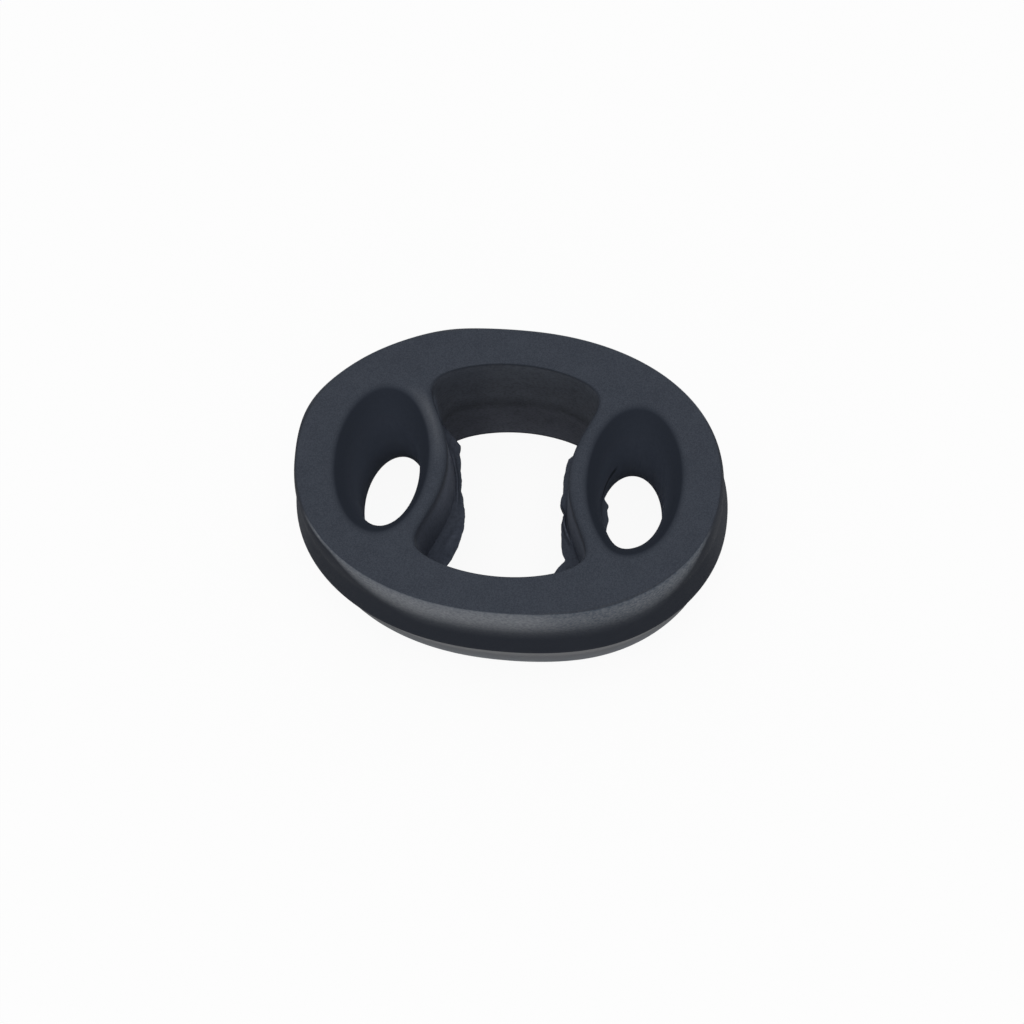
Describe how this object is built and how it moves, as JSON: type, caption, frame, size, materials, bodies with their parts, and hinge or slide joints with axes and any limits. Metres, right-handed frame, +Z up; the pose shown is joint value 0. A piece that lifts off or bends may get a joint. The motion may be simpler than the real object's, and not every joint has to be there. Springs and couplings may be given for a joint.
{
  "type": "exhaust hanger",
  "caption": "Oval moulded rubber block with a waisted eye near each end for hanger rods and an open window between them, to hang an exhaust pipe from a car's underside.",
  "frame": {"origin": "middle of the lower oval face, on the surface the part lies on", "axes": "+X from one eye to the other, +Y across the window, +Z up through the eyes and the window"},
  "size_m": [0.0754, 0.054, 0.0364],
  "materials": {
    "rubber": "matte black moulded rubber with a fine grain"
  },
  "bodies": {
    "root": {"hanger_body": "rubber"}
  },
  "joints": []
}
